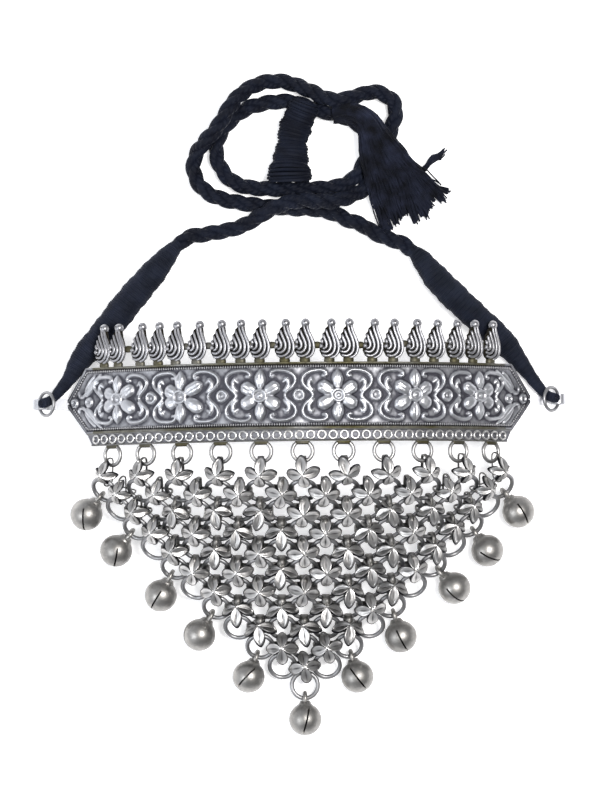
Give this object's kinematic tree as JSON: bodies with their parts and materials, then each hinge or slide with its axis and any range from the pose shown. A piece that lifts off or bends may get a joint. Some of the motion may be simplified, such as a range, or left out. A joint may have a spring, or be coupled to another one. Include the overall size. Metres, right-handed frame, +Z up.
{
  "type": "choker",
  "caption": "Arched silver choker with embossed flowers, leaf finials, a pointed net of flower links and rings with small bells, and a black cotton cord with a tassel.",
  "frame": {"origin": "on the table under the middle of the metalwork's box", "axes": "+X along the collar to the wearer's left, +Y from the lowest bell towards the cord, +Z up from the table through the arched plate's face"},
  "size_m": [0.1276, 0.1586, 0.0287],
  "materials": {
    "silver": "oxidised silver, bright on the raised work and dark in the recesses",
    "cotton": "black twisted cotton"
  },
  "bodies": {
    "root": {"collar": "silver", "end_ring_left": "silver", "end_ring_right": "silver", "flower_links": "silver", "link_rings": "silver", "bell_left_1": "silver", "bell_left_2": "silver", "bell_left_3": "silver", "bell_left_4": "silver", "bell_left_5": "silver", "bell_right_1": "silver", "bell_right_2": "silver", "bell_right_3": "silver", "bell_right_4": "silver", "bell_right_5": "silver", "bell_bottom": "silver", "cord_wrap_left": "cotton", "cord_wrap_right": "cotton", "cord_left": "cotton", "cord_right": "cotton", "cord_slider": "cotton", "cord_tassel": "cotton"}
  },
  "joints": []
}
